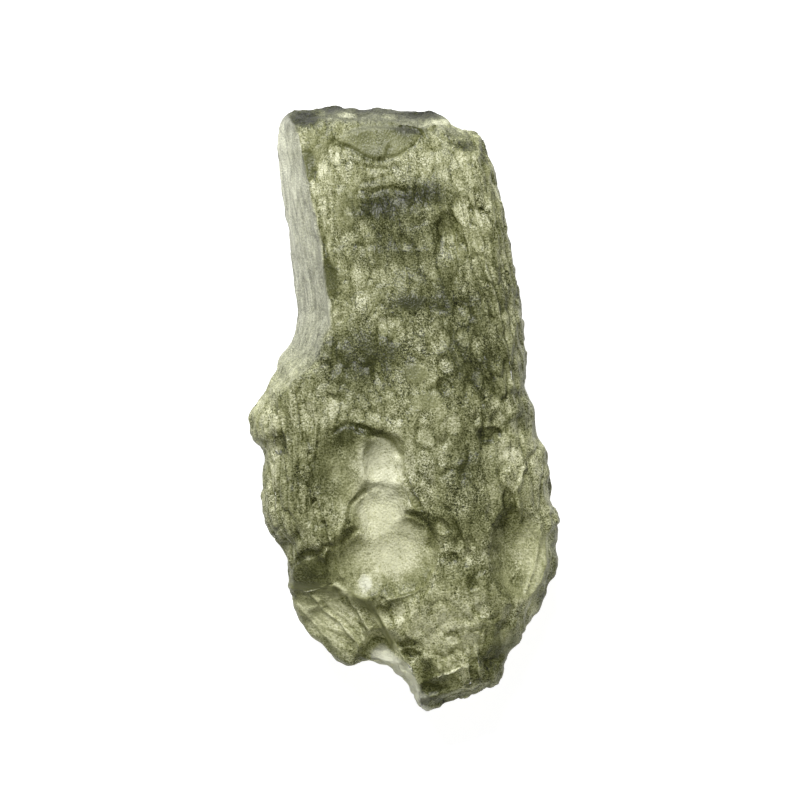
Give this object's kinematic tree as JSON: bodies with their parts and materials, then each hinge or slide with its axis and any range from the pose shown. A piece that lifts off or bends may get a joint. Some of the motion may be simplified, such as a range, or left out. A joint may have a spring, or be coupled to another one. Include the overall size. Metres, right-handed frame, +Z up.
{
  "type": "raw moldavite",
  "caption": "Raw moldavite, a flat elongated piece of see-through olive green natural glass with an etched skin, lying flat.",
  "frame": {"origin": "on the surface the stone lies on, under the middle of its box", "axes": "+Z up through the stone's thickness to its sculpted face, +Y along its length to the squared-off head, +X across its width"},
  "size_m": [0.0207, 0.0401, 0.0073],
  "materials": {
    "olive_glass": "etched natural glass, olive green and see-through, with a matt, finely gritty skin"
  },
  "bodies": {
    "root": {"moldavite": "olive_glass"}
  },
  "joints": []
}
